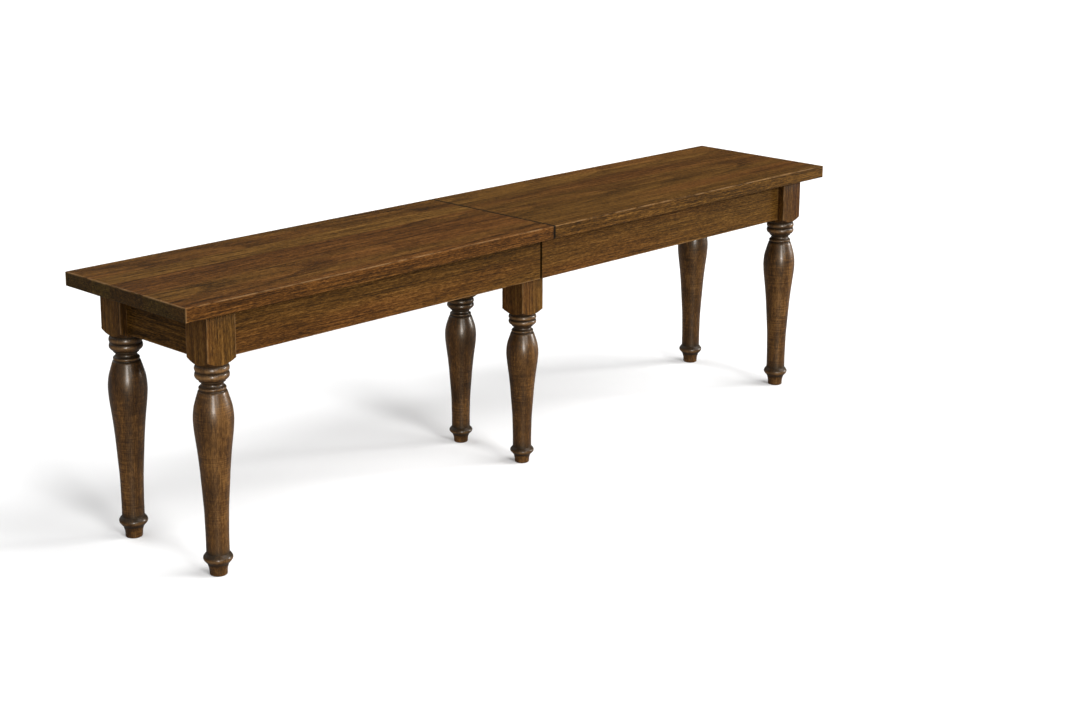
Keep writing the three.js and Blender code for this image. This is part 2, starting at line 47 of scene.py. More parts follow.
# Camera: where it stands and which way it looks, in metres and degrees
CAMERA_AT = (-2.4864, -2.5259, 1.2326)
CAMERA_YAW = 46.10
CAMERA_PITCH = 13.42
CAMERA_ROLL = 0.35
SENSOR_WIDTH = 36
FOCAL_SHARE = 1994.6 / 1087
SHIFT_DOWN = 0.10

# How much of white the room and the floor shed on the bench, and how far the floor reaches
ROOM_LIGHT = 0.06
FLOOR_SHED = 0.36
FLOOR_REACH = 14

# Lights: name, heading from +X towards +Y, height and spread in degrees, then power. Those with True only make
# highlights, and only on the turned legs
LIGHTS = [
    ("key", 306, 48, 40, 2.3, False),
    ("front", 262, 23, 19, 2.2, False),
    ("kicker", 328, 14, 12, 1.1, False),
    ("left fill", 192, 28, 80, 1.15, False),
    ("strip", 236, 16, 10, 2.8, True),
    ("low strip", 236, 4, 14, 5.0, True),
    ("side strip", 331, 12, 8, 4.0, True),
    ("rear", 100, 36, 60, 1.1, False),
    ("top", 80, 84, 90, 0.5, False),
]

# Colours of the finishes in 8-bit steps; the woods run from dark to light
OAK = [(0.0, (32, 18, 5)), (0.3, (58, 36, 12)), (0.55, (87, 56, 21)), (1.0, (134, 95, 48))]
TURNED_OAK = [(0.0, (24, 12, 3)), (0.3, (46, 27, 8)), (0.55, (71, 45, 17)), (1.0, (122, 85, 42))]
MAPLE = [(0.0, (120, 80, 46)), (0.35, (164, 120, 76)), (0.65, (190, 146, 98)), (1.0, (214, 176, 128))]
POPLAR = [(0.0, (92, 66, 40)), (0.35, (132, 98, 62)), (0.65, (156, 120, 80)), (1.0, (182, 148, 106))]
FLOOR_TONES = [(0.0, (242, 242, 242)), (1.0, (246, 246, 246))]
# Rubbed colour: worn edges and crowns painted lighter, partly as a painted highlight
RUBBED_AND_HIGHLIGHT = (142, 108, 70)
# Glaze colour: grooves of the legs and the seam painted dark, partly as painted shade
GLAZE_AND_SHADE = (15, 10, 5)
ZINC = (168, 170, 172)
BLACK_STEEL = (58, 55, 52)
NYLON = (214, 208, 192)
SATIN_TINT = (1.0, 0.82, 0.58, 1.0)

# Edges painted lighter, as finish rubbed thin and a painted highlight: metres from an edge at which it starts and
# is full
EDGE_MARK_FROM = 0.0026
EDGE_MARK_FULL = 0.0008
NO_EDGE_MARKS = [(None, None)] * 3
# How far the dark of the seam, stain with the painted shade of its groove, reaches onto the slabs, in metres
SEAM_STAIN_AND_SHADE = 0.0042

# Axes of the grain, in the order that grain_axes gives them
ALONG, ACROSS = 0, 1

# Staves of the slabs from front to back: start in metres, tone, heart, sideways offset, warmth
SLAB_HALF_DEPTH = 0.1602
STAVES = {
    "left_slab": [(-SLAB_HALF_DEPTH, 0.55, 0.14, 0.31, 0.66), (-0.052, 0.44, 0.3, 0.8, 0.8),
                  (0.036, 0.72, 0.4, 0.2, 0.2), (0.086, 0.5, 0.2, 0.75, 0.55)],
    "right_slab": [(-SLAB_HALF_DEPTH, 0.6, 0.3, 0.82, 0.35), (-0.07, 0.54, 0.16, 0.45, 0.3),
                   (0.02, 0.54, 0.4, 0.2, 0.5), (0.09, 0.74, 0.3, 0.85, 0.3)],
}
# Side aprons of each half: tone and warmth; the right ones are painted lighter and less red, as a painted sheen
APRONS = {"left": (0.02, 0.5), "right": (0.06, 0.2)}

# Legs: runs of (height, radius) in millimetres; a run is one smooth curve and its ends are creases
LEG_RUNS = [
    [(0, 12.8), (0.6, 13.7), (2.2, 14.2), (9, 14.6), (13, 15.4), (17, 16.6), (19.2, 17.4)],
    [(19.2, 17.4), (21.4, 19.4), (23.8, 21.5), (26.2, 23.1), (28.6, 23.7), (31, 23.2), (33.4, 21.7),
     (35.4, 20.1), (36.8, 18.9)],
    [(36.8, 18.9), (39, 18.5), (62, 18.5), (84, 18.9), (107, 19.5), (127, 20.7), (152, 22.4), (174, 23.9),
     (190, 25.3), (205, 26.8), (222, 28.8), (238, 30.7), (251, 31.7), (259, 31.9), (268, 31.4), (278, 30.0),
     (287.4, 27.6), (297, 24.7), (303, 22.7), (304.3, 21.0)],
    [(304.3, 21.0), (305.2, 20.5), (306.2, 21.2), (308, 21.6), (309.8, 21.3), (311, 20.0)],
    [(311, 20.0), (312.5, 18.4), (314.5, 17.5), (316.6, 17.5), (318.3, 18.6)],
    [(318.3, 18.6), (318.8, 20.5), (319.6, 21.1), (320.8, 21.2)],
    [(320.8, 21.2), (322.3, 22.8), (323.8, 25.0), (325.4, 26.2)],
    [(325.4, 26.2), (327, 27.1), (329.2, 27.5), (331.5, 27.2), (333.6, 26.4), (334.9, 25.2)],
    [(334.9, 25.2), (336.3, 26.4), (338, 27.2), (340, 27.5), (342.2, 27.2), (344.4, 26.4), (345.8, 25.4)],
    [(345.8, 25.4), (347.6, 26.1), (349.2, 27.7), (350.8, 30.3), (352.4, 32.5), (354, 34.6), (355.6, 36.8),
     (357.4, 38.9)],
]
# Steps from one point of a run to the next
RUN_STEPS = 3
# The shoulder, which the square block cuts, is all of the turning above this height
SHOULDER_FROM = 346.5
SHOULDER_ROWS = 10
# Rows up the block, as shares of its height, and how much it narrows at its top
BLOCK_ROWS = (0.02, 0.3, 0.65, 0.985)
TOP_EASING = 0.4
# Even columns round a leg, and extra ones in radians off each corner of the block, which is eased
COLUMNS = 72
CORNER_EASING = 0.9
CORNER_COLUMNS = (-0.034, -0.022, -0.011, 0.011, 0.022, 0.034)
# Glaze left in the grooves, with painted shade under the foot's ring and over the foot and the vase's top, and
# crowns rubbed lighter, partly a painted highlight: height, reach and strength
LEG_MARKS = {
    "glaze_and_shade": [(20.4, 3.4, 1), (34.6, 5.2, 1), (42, 9, 0.4), (296, 11, 0.3), (304.9, 2.2, 0.85), (312.0, 2.6, 1),
              (317.2, 1.8, 0.9), (321.2, 2.0, 0.9), (334.9, 2.6, 1), (345.9, 2.8, 1)],
    "crown_and_highlight": [(27.4, 1.7, 1.3), (308.0, 1.2, 1), (329.5, 2.4, 1), (340.2, 2.4, 1)],
}
# Where the tree's centre lies from a leg's axis, in metres
LEG_HEART_X = 0.012
LEG_HEART_Y = -0.045
# Two sizes of leg: scales of height and radius, half the block's width and its top, in millimetres
BLOCK_HALF = 27.3
CORNER_LEG = {"height": 1.0, "radius": 1.0, "half": BLOCK_HALF, "top": 433.3}
MID_LEG = {"height": 1 / 1.227, "radius": 1 / 1.09, "half": 26.1, "top": 365.0}
# Legs: place in millimetres, size, body and the tone of the block
LEG_X = 716.5
LEG_Y = 114.8
MID_LEG_Y = 81.2
LEGS = {
    "left_leg_front": (-LEG_X, -LEG_Y, CORNER_LEG, "left_half", 0.03),
    "left_leg_back": (-LEG_X, LEG_Y, CORNER_LEG, "left_half", 0.02),
    "right_leg_front": (LEG_X, -LEG_Y, CORNER_LEG, "right_half", -0.06),
    "right_leg_back": (LEG_X, LEG_Y, CORNER_LEG, "right_half", 0.03),
    "mid_leg_front": (0.0, -MID_LEG_Y, MID_LEG, "centre_stand", 0.08),
    "mid_leg_back": (0.0, MID_LEG_Y, MID_LEG, "centre_stand", 0.03),
}

# Edges sharper than this stay sharp, in degrees
LEG_CREASE = 38
BOLT_CREASE = 32

# Cap screws: piece, node, place along Y, tip, underside and top of the head, in millimetres
CAP_SCREWS = [
    ("axle_bolt_cap_screw", "axle_bolt", 0, 372, 419.3, 425.3),
    ("mid_leg_cap_screw_front", "mid_leg_bolt_front", -MID_LEG_Y, 320, 386.6, 391.6),
    ("mid_leg_cap_screw_back", "mid_leg_bolt_back", MID_LEG_Y, 320, 386.6, 391.6),
]
# Their radii, the knurling's in its grooves and on its ridges, and how deep the hexagon socket is
SHANK = 4.0
SHANK_TIP = 3.4
HEAD = 6.5
HEAD_RIM = 6.1
KNURL = (6.78, 7.0)
KNURL_COLUMNS = 48
SOCKET_RIM = 3.9
SOCKET = 3.45
SOCKET_DEPTH = 3.4
# Hanger studs: height in the leg; start, start of the thread and end, from the inner corner of the block
HANGER_Z = 403
STUD = (-25, 18, 34.2)
STUD_COLUMNS = 24
THREAD_PITCH = 1.25
THREAD_STEPS = 6
THREAD_ROOT = 3.45
THREAD_DEPTH = 0.53
# Their nuts: the two faces, measured as for the studs, and the radii from the bore outwards
NUT = (21.6, 28.1)
NUT_COLUMNS = 36
NUT_BORE = 4.05
NUT_BORE_RIM = 4.5
NUT_FACE = 6.3
NUT_CHAMFER = 6.85
NUT_CORNER = 7.5


def linear(rgb):
    """An 8-bit colour as linear red, green, blue and alpha."""
    out = []
    for value in rgb:
        share = value / 255
        out.append(share / 12.92 if share <= 0.04045 else ((share + 0.055) / 1.055) ** 2.4)
    return (*out, 1.0)


class Graph:
    """A material whose nodes are added and wired by short calls."""

    def __init__(self, name):
        self.material = bpy.data.materials.new(name)
        self.material.use_nodes = True
        self.tree = self.material.node_tree
        self.tree.nodes.clear()

    def add(self, kind, inputs=(), **settings):
        node = self.tree.nodes.new(kind)
        for key, value in settings.items():
            setattr(node, key, value)
        for key, value in dict(inputs).items():
            self.feed(node.inputs[key], value)
        return node

    def feed(self, socket, value):
        if isinstance(value, bpy.types.NodeSocket):
            self.tree.links.new(value, socket)
        else:
            socket.default_value = value

    def math(self, operation, *values, clamp=False):
        node = self.add("ShaderNodeMath", operation=operation, use_clamp=clamp)
        for socket, value in zip(node.inputs, values):
            self.feed(socket, value)
        return node.outputs[0]

    def vector(self, operation, *values):
        node = self.add("ShaderNodeVectorMath", operation=operation)
        for socket, value in zip(node.inputs, values):
            self.feed(socket, value)
        return node.outputs[0]

    def place(self):
        """The object's own coordinates, which are the frame's."""
        return self.add("ShaderNodeTexCoord").outputs["Object"]

    def split(self, vector):
        return self.add("ShaderNodeSeparateXYZ", {0: vector}).outputs

    def total(self, start, *parts):
        """start plus each part times its share."""
        for part, share in parts:
            start = self.math("ADD", start, self.math("MULTIPLY", part, share))
        return start

    def noise(self, vector, stretch, detail=2.0, rough=0.5):
        """Noise whose features measure 1 / stretch metres along each axis, as a value about 0.5."""
        scaled = self.vector("MULTIPLY", vector, stretch)
        inputs = {"Vector": scaled, "Scale": 1.0, "Detail": detail, "Roughness": rough}
        return self.add("ShaderNodeTexNoise", inputs, noise_dimensions="3D").outputs[0]

    def ripple(self, vector, stretch, detail=2.0, rough=0.5):
        """The same noise as a value about 0."""
        return self.math("SUBTRACT", self.noise(vector, stretch, detail, rough), 0.5)

    def between(self, value, low, high):
        """0 below low, 1 above high, smooth between them. Low may be the larger one."""
        inputs = {"Value": value, "From Min": low, "From Max": high}
        return self.add("ShaderNodeMapRange", inputs, interpolation_type="SMOOTHSTEP").outputs[0]

    def steps(self, share, colours, interpolation="LINEAR"):
        """The outputs of a colour ramp whose stops are a position and a linear colour."""
        node = self.add("ShaderNodeValToRGB", {"Fac": share})
        node.color_ramp.interpolation = interpolation
        points = node.color_ramp.elements
        while len(points) < len(colours):
            points.new(0.5)
        for point, (position, colour) in zip(points, colours):
            point.position = position
            point.color = colour
        return node.outputs

    def ramp(self, value, stops):
        return self.steps(value, [(position, linear(colour)) for position, colour in stops])[0]

    def mix(self, share, a, b, mode="MIX"):
        node = self.add("ShaderNodeMix", data_type="RGBA", blend_type=mode)
        self.feed(node.inputs[0], share)
        self.feed(node.inputs[6], a)
        self.feed(node.inputs[7], b)
        return node.outputs[2]

    def tint(self, colour, *factors):
        return self.mix(1.0, colour, (*factors, 1.0), "MULTIPLY")

    def attribute(self, name):
        return self.add("ShaderNodeAttribute", attribute_name=name).outputs["Fac"]

    def bump(self, height, distance, strength):
        inputs = {"Height": height, "Distance": distance, "Strength": strength}
        return self.add("ShaderNodeBump", inputs).outputs[0]

    def finish(self, sockets):
        shader = self.add("ShaderNodeBsdfPrincipled", sockets)
        output = self.add("ShaderNodeOutputMaterial")
        self.tree.links.new(shader.outputs[0], output.inputs[0])
        return self.material


def grain_axes(graph, grain, output="Object", turn=0.0):
    """The object's own coordinates or normal as (along the grain, across it, through it)."""
    point = graph.add("ShaderNodeTexCoord").outputs[output]
    if turn:
        inputs = {"Vector": point, "Angle": math.radians(-turn)}
        point = graph.add("ShaderNodeVectorRotate", inputs, rotation_type="Z_AXIS").outputs[0]
    parts = graph.split(point)
    order = {"X": (0, 1, 2), "Y": (1, 0, 2), "Z": (2, 0, 1)}[grain]
    return [parts[i] for i in order]


def facing(graph, grain, axis, turn=0.0):
    """How squarely the surface looks along an axis of the grain, from 0 to 1."""
    return graph.math("ABSOLUTE", grain_axes(graph, grain, "Normal", turn)[axis])


def figure(graph, axes, seed, heart, offset, spacing=0.0034, tilt=0.02):
    """Growth rings cut by the board, and the place that its other marks use. heart is how deep the tree's centre
    lies and offset how far it is sideways."""
    along, across, through = axes
    place = graph.add("ShaderNodeCombineXYZ", {0: along, 1: across, 2: through}).outputs[0]
    place = graph.vector("ADD", place, (seed * 1.37, seed * 0.71, seed * 0.43))
    wide = graph.ripple(place, (1.5, 5, 5), 1.0)
    close = graph.ripple(place, (6, 45, 45))
    sideways = graph.total(graph.math("SUBTRACT", across, offset), (wide, 0.022), (close, 0.004))
    depth = graph.math("SUBTRACT", graph.total(through, (along, tilt)), heart)
    squares = graph.math("ADD", graph.math("POWER", sideways, 2.0), graph.math("POWER", depth, 2.0))
    radius = graph.math("DIVIDE", graph.math("SQRT", squares), spacing)
    part = graph.math("FRACT", radius)
    year = graph.math("ADD", graph.math("FLOOR", radius), seed * 7.3)
    strength = graph.add("ShaderNodeTexWhiteNoise", {"W": year}, noise_dimensions="1D").outputs[0]
    early = graph.math("POWER", graph.math("SUBTRACT", 1.0, part), 2.0)
    early = graph.math("MULTIPLY", early, graph.between(part, 0.0, 0.12))
    return place, graph.math("MULTIPLY", early, graph.math("ADD", 0.35, strength))


def staves(graph, across, bands):
    """Boards glued edge to edge, as the tone, heart, sideways offset and warmth of the one that is met."""
    share = graph.math("DIVIDE", graph.math("ADD", across, SLAB_HALF_DEPTH), 2 * SLAB_HALF_DEPTH)
    stops = [((start + SLAB_HALF_DEPTH) / (2 * SLAB_HALF_DEPTH), look) for start, *look in bands]
    colour, warmth = graph.steps(share, stops, "CONSTANT")
    tone, heart, offset = graph.add("ShaderNodeSeparateColor", {0: colour}).outputs
    return tone, heart, offset, warmth


def edge_mask(graph, limits):
    """1 along the edges of a box. limits are the low and high places of its faces, None for a face left out."""
    near = []
    for part, (low, high) in zip(graph.split(graph.place()), limits):
        masks = [0.0, 0.0]
        if low is not None:
            masks[0] = graph.between(part, low + EDGE_MARK_FROM, low + EDGE_MARK_FULL)
        if high is not None:
            masks[1] = graph.between(part, high - EDGE_MARK_FROM, high - EDGE_MARK_FULL)
        near.append(graph.math("MAXIMUM", *masks))
    pairs = [graph.math("MULTIPLY", near[i], near[j]) for i, j in ((0, 1), (1, 2), (0, 2))]
    return graph.math("MAXIMUM", graph.math("MAXIMUM", pairs[0], pairs[1]), pairs[2])


def board_limits(node, top_only=False):
    """A board's faces, for its edges painted lighter as wear and a painted highlight: without the one towards the
    seam and, if asked, the underside.
    """
    low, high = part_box(node)
    limits = [[low[i], high[i]] for i in range(3)]
    if top_only:
        limits[2][0] = None
    seam_side = 1 if node.startswith("left_") else 0
    limits[0][seam_side] = None
    return limits


def stained_oak(name, grain, seed, limits, tone=0.0, bands=None, heart=0.3, offset=0.0, tilt=0.02, warmth=0.5,
                seam=False, contrast=1.0, gloss=0.09):
    """Dark brown stain on a sawn board of open-grained oak under a satin coat. With bands it is glued from staves,
    which say where their hearts are and how warm they look."""
    g = Graph(name)
    along, across, through = grain_axes(g, grain)
    from_middle = along
    level = 0.5 + tone
    if bands:
        stave_tone, stave_heart, stave_offset, warmth = staves(g, across, bands)
        heart = g.math("MULTIPLY", stave_heart, -0.2)
        offset = g.math("MULTIPLY", g.math("SUBTRACT", stave_offset, 0.5), 0.4)
        along = g.total(along, (stave_offset, 7.0))
        # Front and back faces of the slabs painted a little darker, as shade
        sawn_edge_shade = g.between(facing(g, grain, ACROSS), 0.5, 0.9)
        level = g.total(level, (g.math("SUBTRACT", stave_tone, 0.5), 0.5), (sawn_edge_shade, -0.05))
    place, rings = figure(g, (along, across, through), seed, heart, offset, tilt=tilt)

    # Light and dark of the grain
    pores = g.noise(place, (40, 900, 900), 2.0, 0.6)
    dashes = g.between(g.total(pores, (rings, 0.12)), 0.53, 0.72)
    streaks = g.ripple(place, (9, 330, 330), 3.0, 0.65)
    flecks = g.ripple(place, (120, 640, 640), 3.0, 0.75)
    ribbons = g.ripple(place, (3.5, 130, 130), 3.0, 0.6)
    bars = g.ripple(place, (1.8, 60, 60), 3.0, 0.55)
    patches = g.ripple(place, (3.2, 9, 9))
    shares = [(streaks, 1.15), (flecks, 1.5), (ribbons, 0.55), (bars, 0.3), (patches, 0.14), (rings, -0.12),
              (dashes, -0.36)]
    level = g.total(level, *[(detail, share * contrast) for detail, share in shares])
    colour = g.ramp(level, OAK)

    # Red and olive drifts of the stain, which soaks deeper into end grain; the end grain is painted dark and olive
    # enough to stand also for painted shade on the slabs' ends
    drift = g.noise(g.vector("ADD", place, (7.1, 3.3, 5.9)), (1.4, 12, 12))
    drift = g.between(g.total(drift, (g.math("SUBTRACT", warmth, 0.5), 0.4)), 0.35, 0.68)
    colour = g.mix(drift, g.tint(colour, 0.97, 1.02, 0.90), g.tint(colour, 1.06, 0.94, 0.92))
    end_facing = facing(g, grain, ALONG)
    end_grain = g.between(end_facing, 0.5, 0.9)
    colour = g.mix(end_grain, colour, g.tint(colour, 0.46, 0.56, 0.5))

    # Rubbed edges, painted lighter as wear and a painted highlight, and the dark rim at the seam
    worn_and_lit = g.math("MULTIPLY", edge_mask(g, limits), g.between(g.noise(place, (30, 30, 30), 3.0), 0.34, 0.6))
    colour = g.mix(g.math("MULTIPLY", worn_and_lit, 0.5), colour, linear(RUBBED_AND_HIGHLIGHT))
    if seam:
        # The seam's rims painted dark: stain and the painted shade of the groove between the slabs
        at_seam = g.between(g.math("ABSOLUTE", from_middle), SEAM_STAIN_AND_SHADE, SEAM_STAIN_AND_SHADE / 3)
        on_rim = g.math("SUBTRACT", 1.0, g.between(end_facing, 0.85, 0.95))
        colour = g.mix(g.math("MULTIPLY", at_seam, on_rim), colour, linear(GLAZE_AND_SHADE))
    return g.finish({
        "Base Color": colour,
        "Roughness": g.total(0.5, (dashes, 0.14), (patches, 0.12), (end_grain, 0.12)),
        "Normal": g.bump(g.total(0.0, (dashes, -1.0), (streaks, 0.5)), 0.0003, 0.4),
        "Specular IOR Level": gloss, "Specular Tint": SATIN_TINT,
    })


def turned_oak(name, seed, heart, offset):
    """Stain on the turned part of a leg: lathe lines across the grain, dark glaze left in the grooves with painted
    shade beside them, and crowns painted lighter as rubbed wear and a painted highlight.
    """
    g = Graph(name)
    place, rings = figure(g, grain_axes(g, "Z"), seed, heart, offset, spacing=0.003)
    pores = g.between(g.noise(place, (45, 950, 950), 2.0, 0.6), 0.55, 0.74)
    streaks = g.ripple(place, (7, 260, 260), 3.0, 0.65)
    lathe = g.ripple(place, (560, 20, 20), 3.0, 0.7)
    lathe = g.math("MULTIPLY", lathe, g.between(g.noise(place, (16, 22, 22)), 0.3, 0.7))
    flecks = g.ripple(place, (130, 420, 420), 3.0, 0.75)
    mottle = g.ripple(place, (24, 50, 50), 3.0, 0.6)
    patches = g.ripple(place, (6, 16, 16))
    level = g.total(0.58, (streaks, 0.5), (lathe, 1.2), (flecks, 0.9), (mottle, 0.8), (patches, 0.7),
                    (rings, -0.14), (pores, -0.3))
    colour = g.ramp(level, TURNED_OAK)
    # Crowns painted lighter: rubbed wear and a painted highlight
    crown_and_highlight = g.math("MULTIPLY", g.attribute("crown_and_highlight"), g.between(mottle, -0.2, 0.1))
    colour = g.mix(g.math("MULTIPLY", crown_and_highlight, 0.45), colour, linear(RUBBED_AND_HIGHLIGHT))
    # Glaze in the grooves, with painted shade under the foot's ring and over the vase's top
    glaze_and_shade = g.math("MULTIPLY", g.attribute("glaze_and_shade"), g.total(0.85, (mottle, 1.2)), clamp=True)
    colour = g.mix(g.math("MULTIPLY", glaze_and_shade, 0.92), colour, linear(GLAZE_AND_SHADE))
    return g.finish({
        "Base Color": colour,
        "Roughness": g.total(0.44, (glaze_and_shade, 0.15), (patches, 0.1), (pores, 0.1)),
        "Normal": g.bump(g.total(flecks, (lathe, 0.6), (pores, -1.0)), 0.00015, 0.4),
        "Specular IOR Level": 0.12, "Specular Tint": SATIN_TINT,
        "Coat Weight": 0.14, "Coat Roughness": 0.24, "Coat Tint": (1.0, 0.88, 0.7, 1.0),
    })


def plain_wood(name, grain, seed, stops, rough, turn=0.0):
    """Unstained close-grained wood of the slides and the frame. turn is the grain's heading off its axis."""
    g = Graph(name)
    place, rings = figure(g, grain_axes(g, grain, turn=turn), seed, -0.05, 0.02, spacing=0.0032)
    fine = g.ripple(place, (14, 420, 420), 3.0, 0.6)
    patches = g.ripple(place, (3, 16, 16))
    flecks = g.between(g.noise(place, (60, 900, 300), 1.0), 0.66, 0.78)
    colour = g.ramp(g.total(0.6, (fine, 0.5), (patches, 0.5), (rings, -0.22), (flecks, -0.22)), stops)
    end_grain = g.between(facing(g, grain, ALONG, turn), 0.5, 0.9)
    return g.finish({
        "Base Color": g.mix(end_grain, colour, g.tint(colour, 0.62, 0.55, 0.46)),
        "Roughness": g.total(rough, (patches, 0.2)),
        "Normal": g.bump(g.total(fine, (flecks, -0.6)), 0.0002, 0.3),
    })


def metal(name, colour, rough, streak):
    """Plated or blackened steel with faint stains and fine scratches."""
    g = Graph(name)
    place = g.place()
    stains = g.noise(place, (90, 90, 90), 3.0, 0.6)
    scratches = g.noise(place, streak, 2.0, 0.7)
    dull = g.tint(linear(colour), 0.72, 0.7, 0.66)
    return g.finish({
        "Base Color": g.mix(g.between(stains, 0.42, 0.7), linear(colour), dull),
        "Metallic": 1.0,
        "Roughness": g.total(rough, (g.math("SUBTRACT", stains, 0.5), 0.3)),
        "Normal": g.bump(scratches, 0.00004, 0.4),
    })


def moulded(name, colour, rough):
    """Moulded plastic with a fine matt skin and a little grime."""
    g = Graph(name)
    place = g.place()
    skin = g.noise(place, (1600, 1600, 1600))
    grime = g.between(g.noise(place, (40, 40, 40), 3.0, 0.6), 0.5, 0.8)
    return g.finish({
        "Base Color": g.mix(grime, linear(colour), g.tint(linear(colour), 0.86, 0.83, 0.76)),
        "Roughness": g.total(rough, (grime, 0.1)),
        "Normal": g.bump(skin, 0.00005, 0.5),
        "Subsurface Weight": 0.05,
    })


def paint(node, material):
    """Gives a node of the frame its material."""
    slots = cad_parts[node].data.materials
    slots.clear()
    slots.append(material)


def smooth_mesh(name, verts, faces, crease):
    """A mesh shaded smooth, apart from edges sharper than crease in degrees."""
    mesh = bpy.data.meshes.new(name)
    mesh.from_pydata(verts, [], faces)
    mesh.validate()
    for polygon in mesh.polygons:
        polygon.use_smooth = True
    mesh.set_sharp_from_angle(angle=math.radians(crease))
    return mesh


def in_scene(name, data):
    """A new object of the scene."""
    thing = bpy.data.objects.new(name, data)
    bpy.context.scene.collection.objects.link(thing)
    return thing


# Turned legs

def smooth_run(points):
    """A Catmull-Rom curve through the points, without the last one."""
    ends = [points[0], *points, points[-1]]
    out = []
    for i in range(1, len(ends) - 2):
        p0, p1, p2, p3 = (Vector(ends[i + k]) for k in (-1, 0, 1, 2))
        for step in range(RUN_STEPS):
            t = step / RUN_STEPS
            out.append(0.5 * (2 * p1 + (p2 - p0) * t + (2 * p0 - 5 * p1 + 4 * p2 - p3) * t * t
                              + (3 * p1 - p0 - 3 * p2 + p3) * t ** 3))
    return out


def leg_profile(form):
    """Heights and radii of the turning, in metres."""
    rows = []
    for run in LEG_RUNS:
        rows += smooth_run(run)
    rows.append(Vector(LEG_RUNS[-1][-1]))
    return [(z * form["height"] * MM, r * form["radius"] * MM) for z, r in rows]


def block_radius(angle, half):
    """Distance from the axis to the side of a square block with slightly eased corners."""
    easing = CORNER_EASING * MM
    c, s = abs(math.cos(angle)), abs(math.sin(angle))
    flat = half / max(c, s)
    inner = half - easing
    reach = inner * (c + s)
    under = reach * reach - 2 * inner * inner + easing * easing
    if under <= 0 or min(c, s) * flat <= inner:
        return flat
    return reach + math.sqrt(under)


def leg_angles():
    """Columns round the leg: even steps, with closer ones where the block's corners are eased."""
    angles = [2 * math.pi * i / COLUMNS for i in range(COLUMNS)]
    for quarter in range(4):
        middle = math.pi / 4 + quarter * math.pi / 2
        angles += [middle + d for d in CORNER_COLUMNS]
    return sorted(set(round(a, 6) for a in angles))


def spread(curve, count):
    """Points at even distances along a curve, without its start and with its end."""
    lengths = [0.0]
    for a, b in zip(curve, curve[1:]):
        lengths.append(lengths[-1] + math.dist(a, b))
    out = []
    for step in range(1, count + 1):
        want = lengths[-1] * step / count
        k = next((j for j in range(1, len(lengths)) if lengths[j] >= want - 1e-12), len(lengths) - 1)
        t = (want - lengths[k - 1]) / max(1e-12, lengths[k] - lengths[k - 1])
        a, b = curve[k - 1], curve[k]
        out.append((a[0] + (b[0] - a[0]) * t, a[1] + (b[1] - a[1]) * t))
    return out


def leg_column(turned, shoulder, side, top):
    """Heights and radii of one column: the turning, the shoulder until it meets the block's side, the block."""
    crossing = next((i for i in range(1, len(shoulder)) if shoulder[i][1] > side), len(shoulder) - 1)
    (z0, r0), (z1, r1) = shoulder[crossing - 1], shoulder[crossing]
    share = min(1.0, max(0.0, (side - r0) / (r1 - r0)))
    meet = z0 + (z1 - z0) * share
    column = turned + spread(shoulder[:crossing] + [(meet, side)], SHOULDER_ROWS)
    column += [(meet + (top - meet) * up, side) for up in BLOCK_ROWS]
    return column + [(top, side - TOP_EASING * MM)]


def polygon_rows(polygon, rows, count):
    """The rows of a leg's column that a face touches; the two end points count as the last row."""
    return [i % rows if i < rows * count else rows - 1 for i in polygon.vertices]


def make_leg(name, x, y, form, body):
    """A leg in one mesh: columns of points from the floor to the slab, a fan at each end. Its second material is
    for the block, and its two attributes say where the turning is darker, from glaze and painted shade, and
    lighter, from rubbing and a painted highlight."""
    profile = leg_profile(form)
    top = form["top"] * MM
    split = [i for i, (z, r) in enumerate(profile) if z <= SHOULDER_FROM * form["height"] * MM][-1]
    verts = []
    angles = leg_angles()
    for angle in angles:
        side = block_radius(angle, form["half"] * MM)
        column = leg_column(profile[:split + 1], profile[split:], side, top)
        verts += [(x * MM + r * math.cos(angle), y * MM + r * math.sin(angle), z) for z, r in column]
    rows, count = len(column), len(angles)
    verts += [(x * MM, y * MM, 0.0), (x * MM, y * MM, top)]
    faces = []
    for i in range(count):
        j = (i + 1) % count
        for k in range(rows - 1):
            faces.append((i * rows + k, j * rows + k, j * rows + k + 1, i * rows + k + 1))
        faces.append((len(verts) - 2, j * rows, i * rows))
        faces.append((len(verts) - 1, i * rows + rows - 1, j * rows + rows - 1))
    mesh = smooth_mesh(name + "_turned", verts, faces, LEG_CREASE)
    for polygon in mesh.polygons:
        on_block = min(polygon_rows(polygon, rows, count)) >= split + SHOULDER_ROWS
        polygon.material_index = 1 if on_block else 0
    for label, marks in LEG_MARKS.items():
        values = mesh.attributes.new(label, "FLOAT", "POINT").data
        for i, vertex in enumerate(mesh.vertices):
            z = vertex.co.z / (form["height"] * MM)
            here = sum(share * math.exp(-((z - at) / wide) ** 2) for at, wide, share in marks)
            values[i].value = min(1.0, here)
    leg = in_scene(name + "_turned", mesh)
    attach(leg, body)
    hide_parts(name)
    return leg


turned_legs = bpy.data.collections.new("turned_legs")
for index, (name, (x, y, form, body, tone)) in enumerate(LEGS.items()):
    leg = make_leg(name, x, y, form, body)
    turned_legs.objects.link(leg)
    x, y, half = x * MM, y * MM, form["half"] * MM
    seed, heart, offset = 3.0 + index * 1.9, y + LEG_HEART_Y, x + LEG_HEART_X
    limits = [(x - half, x + half), (y - half, y + half), (None, None)]
    leg.data.materials.append(turned_oak("turned_" + name, seed, heart, offset))
    leg.data.materials.append(stained_oak("block_" + name, "Z", seed, limits, tone, heart=heart, offset=offset,
                                          contrast=0.8, gloss=0.05))


# Bolts and nuts

zinc = metal("zinc_steel", ZINC, 0.34, (400, 400, 60))


def hexagon(angle, corner):
    """Distance from the middle of a hexagon to its side."""
    return corner * math.cos(math.pi / 6) / math.cos(angle % (math.pi / 3) - math.pi / 6)


